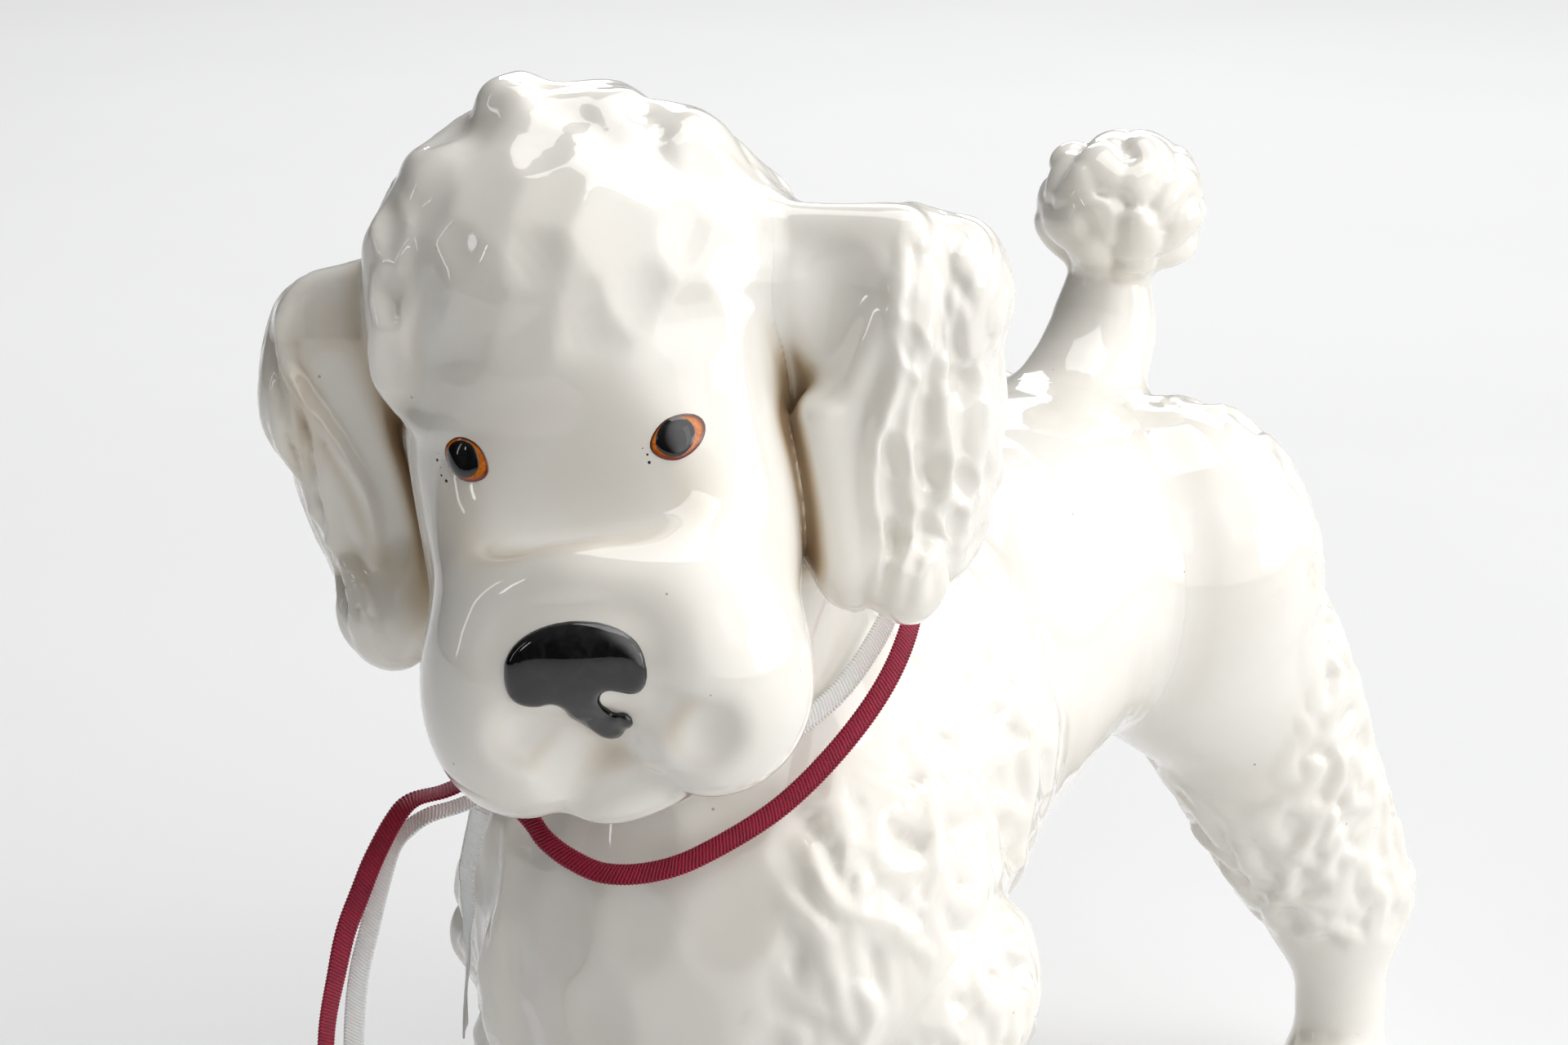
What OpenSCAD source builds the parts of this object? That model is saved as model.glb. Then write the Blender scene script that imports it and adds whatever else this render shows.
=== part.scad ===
// Standing poodle figurine: slip-cast ceramic castings luted together, raised
// enamel nose and eyes, and two narrow satin ribbons tied round the neck.
// Millimetres, +Z up. The dog looks towards -Y, its left side is +X, and the
// soles of its four feet stand on z = 0.

/* [Castings] */
// Thickness of the slip-cast wall
wall = 3; // [2.6:0.1:3.6]
// Steps round each full turn of a casting's lobes
facets = 24; // [20:2:32]
// Steps round the lobes of a casting's inside
inner_facets = 14; // [12:2:18]
// Diameter of the vent hole in the belly
vent_d = 5; // [4:0.5:7]

/* [Head] */
// How far the head is turned to the dog's left, in degrees
head_turn = 21; // [18:1:23]
// How far the head is tipped to the dog's right, in degrees
head_tilt = 8.3; // [6:0.1:10]
// Width of the nose
nose_w = 19; // [17:0.5:21]
// Width of an iris
iris_w = 7.4; // [6:0.2:8]

/* [Tail] */
// Radius of the pompon
pompon_r = 13; // [12:0.5:14]

/* [Ribbons] */
// Width of each ribbon
ribbon_w = 3; // [2.4:0.1:3.2]
// Thickness of each ribbon
ribbon_t = 0.4; // [0.3:0.05:0.6]

/* [Hidden] */

glaze = "#f3f0e8";
black = "#141414";
amber = "#c0601c";
burgundy = "#7b1034";
satin_white = "#f7f5ef";

// Places shared by several pieces; those on the head are in the head's own axes.
// The figure is drawn about its middle plane, then moved to put the middle of its
// box, ribbons aside, over the origin.
origin_at = [1.7, -12.2, 0];
head_at = [-2, -52, 154.5];
neck_top = [0, -37, 136];
neck_foot = [0, -25, 104];
skull_at = [0, 2, 12];
skull_half = [28.5, 29, 28];
topknot_at = [-5.5, 0, 22];
topknot_half = [23.5, 25, 20];
pompon_at = [0, 101, 154.5];
pompon_half = [pompon_r, pompon_r, pompon_r * 0.85];
nose_at = [1, -44.5, -22];
eye_at = [14, -26.1, 1.3];
knot_at = [-17, -59, 99];
curl_r = 4.6;
curl_depth = 0.84;
drain_r = 4;
raised = 0.9;

// The ribbons' routes: points along the middle of each band, in order from the knot
loop_burgundy_route = [
    [-13, -61, 98], [-10, -62, 96.5], [-7, -63, 94.5], [-3, -63, 92.5], [2, -62, 91], [8, -59.5, 91.5],
    [14, -56, 94], [22, -49, 100], [28, -42, 108], [31, -34, 116], [30, -25, 123], [25, -15, 128],
    [15, -8, 132], [1, -5, 133], [-13, -8, 132], [-23, -15, 128], [-29, -26, 121], [-30, -38, 113],
    [-27, -48, 106], [-22, -55, 102]
];
loop_white_route = [
    [-12.5, -58, 99.5], [-8, -58, 99.5], [-3, -57, 99.5], [5, -55, 101], [12, -51, 103],
    [19, -44, 108], [24, -37, 113], [26, -29, 119], [25, -21, 124], [20, -13, 128], [11, -9, 130],
    [0, -8, 131], [-11, -9, 130], [-20, -14, 127], [-26, -23, 123], [-28, -34, 116],
    [-25, -44, 110], [-20, -51, 105]
];
end_burgundy_route = [
    [-19, -63, 101.5], [-21, -67, 100.5], [-23.5, -71, 100], [-24.5, -74, 98], [-26, -77, 93],
    [-27, -79, 88.5], [-29, -80, 82.5], [-30, -81, 76.5], [-32, -81, 67.5], [-33, -80.5, 56],
    [-34, -80, 44], [-34, -80, 33], [-34, -79, 22]
];
end_white_front_route = [
    [-18.5, -63, 98.5], [-20, -66, 98], [-22, -69, 97.5], [-24, -71, 96], [-26, -73, 93],
    [-27, -75, 87], [-28, -76, 81.5], [-29, -77, 76], [-30, -77, 70], [-30.5, -77, 63],
    [-31, -76.5, 54], [-31, -76, 42], [-31, -75, 31]
];
end_white_side_route = [
    [-21, -58.5, 95], [-22.5, -57.5, 91.5], [-24, -56.5, 88], [-25.5, -55.5, 84], [-26.5, -54, 80.5],
    [-27.5, -52.5, 76.5], [-29.5, -50, 72.5], [-32.5, -45.5, 66], [-36.5, -40, 60], [-41, -34, 53],
    [-44.5, -29, 46]
];

// ---- Building blocks ----

// An ellipsoid with the given half-sizes
module lobe(at, half, turn = [0, 0, 0], steps = facets)
    translate(at) rotate([0, 0, turn[2]]) rotate([0, turn[1], 0])
        hull() scale(half) sphere(r = 1, $fn = steps);

// A tapering limb with round ends
module limb(from, to, r_from, r_to, steps = facets)
    hull() {
        translate(from) sphere(r = r_from, $fn = steps);
        translate(to) sphere(r = r_to, $fn = steps);
    }

// Curls of hair, spread evenly over a lobe between two of its heights
module curls(at, half, count, low, high) {
    turn_between = 137.5;
    for (i = [0:count - 1]) {
        up = low + (high - low) * (i + 0.5) / count;
        across = sqrt(1 - up * up);
        spot = curl_depth * [across * cos(turn_between * i), across * sin(turn_between * i), up];
        lobe([for (k = [0:2]) at[k] + half[k] * spot[k]], curl_r * [1, 1, 0.9], steps = 10);
    }
}

module on_head()
    translate(head_at) rotate([0, 0, head_turn]) rotate([0, -head_tilt, 0]) children();

module flipped() mirror([1, 0, 0]) children();

module placed() translate(origin_at) children();

module above_floor() intersection() {
    children();
    translate([-150, -150, 0]) cube([300, 300, 300]);
}

// The half of space on the dog's right, with the middle plane as its edge
module right_half() translate([-150, -150, -50]) cube([150, 300, 300]);

function unit(v) = v / norm(v);
function near(route, i) = route[max(0, min(len(route) - 1, i))];

// The way a band round the neck faces: off the neck's axis, and ahead and up over the chest
function off_neck(p) =
    let (axis = unit(neck_top - neck_foot),
         foot = neck_foot + axis * ((p - neck_foot) * axis),
         ahead = max(0, min(1, (-8 - p[1]) / 20)),
         lean = max(0, (-20 - p[1]) / 45))
    unit(unit(p - foot) + [0, -ahead, 0.3 * ahead + lean]);

// A flat band swept along a route, facing the given way at each point
module band(route, facing) {
    sides = 8;
    count = len(route);
    rings = [for (i = [0:count - 1])
        let (along = unit(near(route, i + 1) - near(route, i - 1)),
             across = unit(cross(along, facing[i])),
             out = cross(across, along))
        for (k = [0:sides - 1])
            let (a = 360 * (k + 0.5) / sides)
            route[i] + across * ribbon_w / 2 * cos(a) / cos(22.5) + out * ribbon_t / 2 * sin(a) / sin(67.5)];
    walls = [for (i = [0:count - 2], k = [0:sides - 1])
        let (b = i * sides + k, c = i * sides + (k + 1) % sides)
        each [[b, c, b + sides], [c, c + sides, b + sides]]];
    ends = [[for (k = [sides - 1:-1:0]) k],
            [for (k = [0:sides - 1]) (count - 1) * sides + k]];
    polyhedron(rings, concat(walls, ends), convexity = 6);
}

module loop(route) band(route, [for (p = route) off_neck(p)]);

// A hanging end turns from one facing to another on its way down
module hanging(route, first, last)
    band(route, [for (i = [0:len(route) - 1])
        let (t = i / (len(route) - 1)) unit(first * (1 - t) + last * t)]);

// ---- Outer forms, each whole, before its neighbours are taken away ----

module head_form() on_head() {
    lobe(skull_at, skull_half);
    lobe(topknot_at, topknot_half);
    lobe([0, -11, -2], [25.5, 19.5, 20]);
    lobe([-8, -2, 37], [10, 12, 6]);
    lobe([-14, -12, -15], [12.5, 14, 16]);
    lobe([15, -12, -15], [12.5, 14, 16]);
    lobe([1, -26, -13], [17, 20, 11.5]);
    lobe([-10.5, -33, -26.5], [13.2, 15, 18]);
    lobe([13.8, -33, -26.5], [13.5, 15, 18]);
    lobe([2, -26, -41], [12, 12, 9]);
    lobe([0, -18, -27], [15, 17, 15]);
}

module trunk_form(inset = 0, steps = facets) {
    limb(neck_top, neck_foot, 20.5 - inset, 23.5 - inset, steps);
    lobe([0, -24, 74], [39, 35, 42] - inset * [1, 1, 1], steps = steps);
    limb([0, 4, 90], [0, 57, 99], 33 - inset, 29 - inset, steps);
    lobe([0, 74, 102], [28, 26, 27] - inset * [1, 1, 1], steps = steps);
    limb([0, -20, 108], [0, 6, 96], 21 - inset, 30 - inset, steps);
}

// A root let into the skull, the hanging flap, and a row of curls down its outer edge
module ear_form() {
    limb([25, 0, 16], [36, 2, 12], 10, 10);
    lobe([40, 2, -5], [7.5, 16, 28], [0, 7, -39]);
    for (i = [0:4]) lobe([46 - i, 9, 14 - 8 * i], [4.5, 5, 6], [0, 7, -39], 8);
}

module foreleg_form() above_floor() {
    limb([20, -20, 62], [19, -26, 30], 24, 16);
    limb([19, -30, 32], [19, -30, 10], 9, 7.5);
    lobe([19, -34, 5.5], [9, 12.5, 7.5]);
}

module hindleg_form() above_floor() {
    lobe([19, 85, 98], [24, 23, 29]);
    limb([26, 96, 78], [38, 112, 38], 19, 13);
    limb([40, 112, 30], [40, 112, 10], 8, 7.5);
    lobe([40, 108, 5.5], [9, 12.5, 7.5]);
}

// ---- Castings ----

module trunk() color(glaze) difference() {
    trunk_form();
    trunk_form(wall, inner_facets);
    head_form();
    leg_drains();
    flipped() leg_drains();
    limb([0, 80, 112], [0, 92, 128], 3, 3, inner_facets);
    translate([0, 34, 40]) cylinder(d = vent_d, h = 60, $fn = 24);
}

// Holes through the trunk's wall that let slip and air out of the legs
module leg_drains() {
    limb([16, -20, 66], [20, -20, 50], drain_r, drain_r, inner_facets);
    limb([14, 80, 92], [26, 90, 80], drain_r, drain_r, inner_facets);
}

module head() color(glaze) difference() {
    union() {
        head_form();
        on_head() curls(topknot_at, topknot_half + [1, 1, 1], 22, 0.4, 0.97);
    }
    on_head() {
        lobe(skull_at, skull_half - wall * [1, 1, 1], steps = inner_facets);
        lobe([1.5, -27, -22], [17, 14, 12], steps = inner_facets);
    }
    limb(neck_top, neck_foot, 17 - wall, 17 - wall, inner_facets);
}

module ear_left() color(glaze) difference() {
    on_head() ear_form();
    head_form();
}

module ear_right() color(glaze) difference() {
    on_head() flipped() ear_form();
    head_form();
}

module tail() color(glaze) difference() {
    union() {
        limb([0, 84, 120], [0, 96, 134], 13, 8);
        limb([0, 96, 134], [0, 99, 146], 7.5, 7);
        lobe(pompon_at, pompon_half);
        curls(pompon_at, pompon_half, 26, -0.75, 0.97);
    }
    limb([0, 80, 112], [0, 100, 152], 3, 3, inner_facets);
    trunk_form();
    hindleg_form();
    flipped() hindleg_form();
}

module foreleg() difference() {
    foreleg_form();
    limb([20, -20, 62], [19, -26, 32], 24 - wall, 15 - wall, inner_facets);
    trunk_form();
    right_half();
}

module hindleg() difference() {
    hindleg_form();
    limb([20, 86, 96], [37, 111, 40], 22 - wall, 12 - wall, inner_facets);
    trunk_form();
    right_half();
}

module foreleg_left() color(glaze) foreleg();
module foreleg_right() color(glaze) flipped() foreleg();
module hindleg_left() color(glaze) hindleg();
module hindleg_right() color(glaze) flipped() hindleg();

// ---- Raised enamel ----

module nose_enamel() color(black) difference() {
    on_head() {
        lobe(nose_at, [nose_w / 2, 4.2, 6.2]);
        lobe(nose_at + [0.5, -0.5, -5.5], [3.6, 3.2, 5]);
    }
    head_form();
}

module iris_form() lobe(eye_at, [iris_w / 2, 2 + raised, 2.9], steps = 24);
module pupil_form() lobe(eye_at + [0.3, -0.4, 0], [iris_w * 0.32, 2 + raised, 2.1], steps = 20);

module iris_left() color(amber) difference() {
    on_head() iris_form();
    on_head() pupil_form();
    head_form();
}

module iris_right() color(amber) difference() {
    on_head() flipped() iris_form();
    on_head() flipped() pupil_form();
    head_form();
}

module pupil_left() color(black) difference() {
    on_head() pupil_form();
    head_form();
}

module pupil_right() color(black) difference() {
    on_head() flipped() pupil_form();
    head_form();
}

// ---- Ribbons ----

module knot_burgundy() color(burgundy) hull() {
    translate(knot_at + [-1.8, -0.6, 0.6]) sphere(r = 2.2, $fn = 16);
    translate(knot_at + [0.6, -1.2, -1.4]) sphere(r = 2, $fn = 16);
}

module knot_white() color(satin_white) hull() {
    translate(knot_at + [-1, 3.6, 1.8]) sphere(r = 1.8, $fn = 16);
    translate(knot_at + [1.2, 3.4, 0]) sphere(r = 1.8, $fn = 16);
}

module loop_burgundy() color(burgundy) loop(loop_burgundy_route);
module loop_white() color(satin_white) loop(loop_white_route);
module end_burgundy() color(burgundy) hanging(end_burgundy_route, [0.2, -0.2, 1], [1, -0.2, 0.1]);
module end_white_front() color(satin_white) hanging(end_white_front_route, [0.2, -0.3, 1], [0.5, -1, 0]);
module end_white_side() color(satin_white) hanging(end_white_side_route, [0.3, -1, 0.4], [-1, -0.3, 0]);

placed() trunk();
placed() head();
placed() ear_left();
placed() ear_right();
placed() tail();
placed() foreleg_left();
placed() foreleg_right();
placed() hindleg_left();
placed() hindleg_right();
placed() nose_enamel();
placed() iris_left();
placed() iris_right();
placed() pupil_left();
placed() pupil_right();
placed() knot_burgundy();
placed() knot_white();
placed() loop_burgundy();
placed() loop_white();
placed() end_burgundy();
placed() end_white_front();
placed() end_white_side();
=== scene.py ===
"""Looks of the standing poodle figurine: glazed castings with modelled hair, enamel nose and
eyes, and two satin ribbons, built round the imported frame.

The castings are drawn in millimetres about the figure's middle plane, as distance fields that
blend into each other, and every mesh is moved into the frame in metres at the end."""

import math

import bpy
import numpy as np
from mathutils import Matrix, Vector


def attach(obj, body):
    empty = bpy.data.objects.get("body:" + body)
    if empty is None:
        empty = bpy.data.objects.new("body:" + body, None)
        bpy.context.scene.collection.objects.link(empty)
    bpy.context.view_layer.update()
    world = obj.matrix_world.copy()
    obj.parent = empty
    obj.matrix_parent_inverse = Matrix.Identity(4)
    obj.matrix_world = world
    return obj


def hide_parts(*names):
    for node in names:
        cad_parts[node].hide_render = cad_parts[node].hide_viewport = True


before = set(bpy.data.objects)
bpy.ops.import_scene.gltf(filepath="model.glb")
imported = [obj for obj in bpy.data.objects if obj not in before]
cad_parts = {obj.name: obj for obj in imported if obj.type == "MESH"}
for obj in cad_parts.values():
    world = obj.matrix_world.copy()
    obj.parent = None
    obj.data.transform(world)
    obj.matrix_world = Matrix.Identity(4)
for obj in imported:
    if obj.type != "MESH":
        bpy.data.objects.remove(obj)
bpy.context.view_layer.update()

MM = 0.001
ORIGIN_AT = np.array([1.7, -12.2, 0.0])
BODY = "root"


def in_frame(points):
    """The figure's own millimetres as metres in the row frame."""
    return (np.asarray(points, float) + ORIGIN_AT) * MM


# ---- Camera ----

CAMERA_AT = Vector((0.3066, -0.5495, 0.3027))
CAMERA_AZIMUTH, CAMERA_DIP = 30.0, 16.0
CAMERA_LENS = 100.0


def add_camera():
    across, down = math.radians(CAMERA_AZIMUTH), math.radians(CAMERA_DIP)
    ahead = Vector((-math.sin(across) * math.cos(down), math.cos(across) * math.cos(down), -math.sin(down)))
    data = bpy.data.cameras.new("camera")
    data.lens = CAMERA_LENS
    data.clip_end = 50
    camera = bpy.data.objects.new("camera", data)
    camera.location = CAMERA_AT
    camera.rotation_euler = ahead.to_track_quat("-Z", "Y").to_euler()
    bpy.context.scene.collection.objects.link(camera)
    bpy.context.scene.camera = camera


add_camera()

# ---- Meshes ----

def new_piece(name, points, faces, material, slot, nodes):
    """A piece made of points in the figure's millimetres, which stands for some CAD nodes."""
    mesh = bpy.data.meshes.new(name)
    mesh.from_pydata(in_frame(points).tolist(), [], [list(map(int, face)) for face in faces])
    mesh.update()
    mesh.shade_smooth()
    mesh.materials.append(material)
    piece = bpy.data.objects.new(name, mesh)
    bpy.context.scene.collection.objects.link(piece)
    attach(piece, BODY)
    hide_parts(*nodes)
    return piece


def store(piece, name, values):
    """Keeps a value, or three, for each point of a piece, for its material to read."""
    values = np.asarray(values, np.float32)
    kind, key = ("FLOAT", "value") if values.ndim == 1 else ("FLOAT_VECTOR", "vector")
    piece.data.attributes.new(name, kind, "POINT").data.foreach_set(key, values.ravel())


def unit(v):
    v = np.asarray(v, float)
    return v / np.linalg.norm(v, axis=-1, keepdims=True)

# ---- Ribbons ----

RIBBON_W, RIBBON_T = 3.0, 0.4
RING_STEP = 0.14
PICOT = 0.52
NECK_TOP, NECK_FOOT = np.array([0.0, -37, 136]), np.array([0.0, -25, 104])
KNOT_AT = np.array([-17.0, -59, 99])

LOOP_BURGUNDY = [
    (-13, -61, 98), (-10, -62, 96.5), (-7, -63, 94.5), (-3, -63, 92.5), (2, -62, 91), (8, -59.5, 91.5),
    (14, -56, 94), (22, -49, 100), (28, -42, 108), (31, -34, 116), (30, -25, 123), (25, -15, 128),
    (15, -8, 132), (1, -5, 133), (-13, -8, 132), (-23, -15, 128), (-29, -26, 121), (-30, -38, 113),
    (-27, -48, 106), (-22, -55, 102)]
LOOP_WHITE = [
    (-12.5, -58, 99.5), (-8, -58, 99.5), (-3, -57, 99.5), (5, -55, 101), (12, -51, 103),
    (19, -44, 108), (24, -37, 113), (26, -29, 119), (25, -21, 124), (20, -13, 128), (11, -9, 130),
    (0, -8, 131), (-11, -9, 130), (-20, -14, 127), (-26, -23, 123), (-28, -34, 116),
    (-25, -44, 110), (-20, -51, 105)]
END_BURGUNDY = [
    (-19, -63, 101.5), (-21, -67, 100.5), (-23.5, -71, 100), (-24.5, -74, 98), (-26, -77, 93),
    (-27, -79, 88.5), (-29, -80, 82.5), (-30, -81, 76.5), (-32, -81, 67.5), (-33, -80.5, 56),
    (-34, -80, 44), (-34, -80, 33), (-34, -79, 22)]
END_WHITE_FRONT = [
    (-18.5, -63, 98.5), (-20, -66, 98), (-22, -69, 97.5), (-24, -71, 96), (-26, -73, 93),
    (-27, -75, 87), (-28, -76, 81.5), (-29, -77, 76), (-30, -77, 70), (-30.5, -77, 63),
    (-31, -76.5, 54), (-31, -76, 42), (-31, -75, 31)]
END_WHITE_SIDE = [
    (-21, -58.5, 95), (-22.5, -57.5, 91.5), (-24, -56.5, 88), (-25.5, -55.5, 84), (-26.5, -54, 80.5),
    (-27.5, -52.5, 76.5), (-29.5, -50, 72.5), (-32.5, -45.5, 66), (-36.5, -40, 60), (-41, -34, 53),
    (-44.5, -29, 46)]


def curve_through(points, step):
    """A smooth curve through the points (Catmull-Rom), resampled at an even step."""
    p = np.asarray(points, float)
    p = np.vstack([2 * p[0] - p[1], p, 2 * p[-1] - p[-2]])
    t = np.linspace(0, 1, 40, endpoint=False)[:, None]
    runs = []
    for a, b, c, d in zip(p, p[1:], p[2:], p[3:]):
        runs.append(0.5 * (2 * b + (c - a) * t + (2 * a - 5 * b + 4 * c - d) * t ** 2
                           + (3 * b - a - 3 * c + d) * t ** 3))
    dense = np.vstack(runs + [p[-2:-1]])
    run = np.concatenate([[0], np.cumsum(np.linalg.norm(np.diff(dense, axis=0), axis=1))])
    count = max(2, int(round(run[-1] / step)))
    even = np.linspace(0, run[-1], count + 1)
    return np.stack([np.interp(even, run, column) for column in dense.T], 1), even


def off_neck(line):
    """The way a band round the neck faces: off the neck's axis, and ahead and up over the chest."""
    axis = unit(NECK_TOP - NECK_FOOT)
    foot = NECK_FOOT + ((line - NECK_FOOT) @ axis)[:, None] * axis
    ahead = np.clip((-8 - line[:, 1]) / 20, 0, 1)
    lean = np.maximum(0, (-20 - line[:, 1]) / 45)
    return unit(unit(line - foot) + np.stack([0 * ahead, -ahead, 0.3 * ahead + lean], 1))


def turning(line, first, last):
    """The way a hanging end faces: it turns from one facing to another on its way."""
    t = np.linspace(0, 1, len(line))[:, None]
    return unit(np.array(first) * (1 - t) + np.array(last) * t)


def band(line, run, facing, cup=0.16):
    """A woven band along a line: thin, slightly cupped, with thicker looped selvedges."""
    along = unit(np.gradient(line, axis=0))
    across = unit(np.cross(along, facing))
    out = np.cross(across, along)
    s = np.concatenate([np.linspace(-1, 1, 13), np.linspace(1, -1, 13)])
    side = np.concatenate([np.ones(13), -np.ones(13)])
    edge = np.exp(-((np.abs(s) - 0.9) / 0.09) ** 2)
    half = RIBBON_T / 2 * (0.62 + 0.38 * edge) * np.where(np.abs(s) > 0.99, 0.35, 1)
    wave = np.sin(2 * np.pi * run / PICOT)[:, None]
    outer = (np.abs(s) > 0.8) * np.sign(s)
    reach = s * (RIBBON_W / 2 - 0.06) + outer * 0.07 * wave
    lift = side * half * (1 + 0.3 * edge * wave) + cup * (0.4 - s * s)
    rings = line[:, None, :] + across[:, None, :] * reach[..., None] + out[:, None, :] * lift[..., None]
    n, m = len(line), len(s)
    weave = np.stack([np.repeat(run, m), np.tile(s, n), np.tile(side, n)], 1)
    return rings.reshape(-1, 3), tube_faces(n, m), weave


def tube_faces(rings, sides):
    """Quads round a swept tube, and a fan of quads and one triangle over each end."""
    i = np.arange(rings - 1)[:, None] * sides
    j = np.arange(sides)
    k = (j + 1) % sides
    faces = np.stack([i + j, i + k, i + sides + k, i + sides + j], -1).reshape(-1, 4).tolist()
    last = (rings - 1) * sides
    for step in range(sides // 2 - 1):
        a, b = step, sides - 1 - step
        faces.append([a, b, b - 1, a + 1])
        faces.append([last + a, last + a + 1, last + b - 1, last + b])
    return faces


def ribbon(name, route, facing, material, slot):
    """One length of ribbon, swept as a band along its route."""
    line, run = curve_through(route, RING_STEP)
    points, faces, weave = band(line, run, facing(line))
    piece = new_piece(name + "_ribbon", points, faces, material, slot, [name])
    store(piece, "weave", weave)
    path = in_frame(line[::12])
    in_frame(line[:1])[0]


def knot(name, at, spread, tilt, material, slot):
    """A small overhand knot: the band wound over itself in three uneven turns."""
    turns = 3.2
    t = np.linspace(0, 1, 260)
    angle = 2 * np.pi * turns * t
    radius = 1.15 + 0.55 * np.sin(np.pi * t) + 0.12 * np.sin(5 * np.pi * t)
    local = np.stack([radius * np.cos(angle), (t - 0.5) * spread, radius * np.sin(angle)], 1)
    turn = rotation(tilt, 20, 12)
    line = local @ turn.T + at
    centre = at + ((local * [0, 1, 0]) @ turn.T)
    run = np.concatenate([[0], np.cumsum(np.linalg.norm(np.diff(line, axis=0), axis=1))])
    points, faces, weave = band(line, run, unit(line - centre), cup=0.05)
    piece = new_piece(name + "_turns", points, faces, material, slot, [name])
    store(piece, "weave", weave)
    return piece


def rotation(yaw, roll=0.0, pitch=0.0):
    """A turn in degrees: roll about the forward axis, then pitch, then yaw about the vertical."""
    y, r, p = np.radians([yaw, roll, pitch])
    about_z = np.array([[np.cos(y), -np.sin(y), 0], [np.sin(y), np.cos(y), 0], [0, 0, 1]])
    about_y = np.array([[np.cos(r), 0, np.sin(r)], [0, 1, 0], [-np.sin(r), 0, np.cos(r)]])
    about_x = np.array([[1, 0, 0], [0, np.cos(p), -np.sin(p)], [0, np.sin(p), np.cos(p)]])
    return about_z @ about_x @ about_y


def add_ribbons(burgundy, white):
    dark_knot = knot("knot_burgundy", KNOT_AT + [-0.6, -0.9, -0.4], 2.6, 35, burgundy, "burgundy_satin")
    pale_knot = knot("knot_white", KNOT_AT + [0.1, 3.5, 0.9], 2.2, 20, white, "white_satin")
    for name, route, material, slot, tied in (
            ("loop_burgundy", LOOP_BURGUNDY, burgundy, "burgundy_satin", dark_knot),
            ("loop_white", LOOP_WHITE, white, "white_satin", pale_knot)):
        ribbon(name, route, off_neck, material, slot)
    for name, route, first, last, material, slot in (
            ("end_burgundy", END_BURGUNDY, (0.2, -0.2, 1), (1, -0.2, 0.1), burgundy, "burgundy_satin"),
            ("end_white_front", END_WHITE_FRONT, (0.2, -0.3, 1), (0.5, -1, 0), white, "white_satin"),
            ("end_white_side", END_WHITE_SIDE, (0.3, -1, 0.4), (-1, -0.3, 0), white, "white_satin")):
        ribbon(name, route, lambda line, a=first, b=last: turning(line, a, b),
               material, slot)

# ---- Castings: distance fields, in millimetres ----

HEAD_AT = np.array([-2.0, -52.0, 154.5])
HEAD_AXES = rotation(21, -8.3)
POMPON_AT = np.array([0.0, 101, 154.5])
EYE_AT = np.array([14.1, -26.3, 1.5])
NOSE_AT = np.array([0.8, -44.5, -22.0])
EAR_TURN = rotation(-39, 7)
LUTED_OVERLAP = 3.0


def on_head(p):
    return (p - HEAD_AT.astype(p.dtype)) @ HEAD_AXES.astype(p.dtype)


def off_head(q):
    return np.asarray(q, float) @ HEAD_AXES.T + HEAD_AT


def lobe(p, at, half, axes=None):
    """Distance to an ellipsoid, close enough for blending."""
    q = p - np.asarray(at, p.dtype)
    if axes is not None:
        q = q @ axes.astype(p.dtype)
    half = np.asarray(half, p.dtype)
    s = q / half
    k = np.sqrt(np.einsum("ij,ij->i", s, s))
    s /= half
    return k * (k - 1) / (np.sqrt(np.einsum("ij,ij->i", s, s)) + 1e-9)


def limb(p, a, b, r_a, r_b):
    """Distance to a tapering limb with round ends."""
    a, b = np.asarray(a, p.dtype), np.asarray(b, p.dtype)
    q, axis = p - a, b - a
    t = np.clip(q @ axis / (axis @ axis), 0, 1)
    d = q - t[:, None] * axis
    return np.sqrt(np.einsum("ij,ij->i", d, d)) - (r_a + (r_b - r_a) * t)


def smooth_min(a, b, k):
    h = np.maximum(k - np.abs(a - b), 0) / k
    return np.minimum(a, b) - h * h * k * 0.25


def joined(distances, k):
    out = distances[0]
    for d in distances[1:]:
        out = smooth_min(out, d, k)
    return out


def hollowed(d, tool, k):
    """A form with a soft hollow pressed into it."""
    return -smooth_min(-d, tool, k)


def head_form(p):
    q = on_head(p)
    skull = joined([
        lobe(q, (-1.1, 2, 12), (27.1, 29, 28)),
        lobe(q, (-5.5, 0, 22), (23, 25, 20)),
        lobe(q, (8, 2, 20), (20.5, 20, 15)),
        lobe(q, (-0.8, -11, -2), (24.7, 19.5, 20))], 8)
    for at, half in TUFTS:
        skull = smooth_min(skull, lobe(q, at, half), 3.5)
    flews = joined([
        lobe(q, (1, -25, -13), (18, 21, 12)),
        lobe(q, (-9.8, -33, -27), (13.0, 15, 17.5)),
        lobe(q, (13.4, -33, -27), (13.0, 15, 17.5)),
        lobe(q, (-12.3, -30, -33), (9.8, 12, 12)),
        lobe(q, (16.5, -30, -31), (10.0, 12, 12)),
        lobe(q, (0, -18, -27), (15, 17, 15))], 7)
    for at, half in FLEW_HOLLOWS:
        flews = hollowed(flews, lobe(q, at, half), 4)
    flews = hollowed(flews, limb(q, (1, -49.5, -30), (-2.5, -45, -40), 2.4, 2.8), 4)
    chin = smooth_min(lobe(q, (3.5, -28, -39.5), (12.5, 12, 8)), lobe(q, (-1, -31, -43), (7, 8, 5)), 4)
    flews = smooth_min(flews, chin, 2)
    cheeks = joined([
        lobe(q, (-13, -12, -15), (10.7, 14, 16)),
        lobe(q, (14.5, -12, -15), (10.6, 14, 16))], 6)
    face = smooth_min(joined([skull, cheeks], 8), flews, 12.5)
    face = hollowed(face, lobe(q, (0, -36.2, 0.5), (16, 4.8, 8)), 9)
    return smooth_min(face, lobe(q, NOSE_AT + [0, 0.4, 0], (9.8, 4.6, 6.4)), 3)


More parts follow.
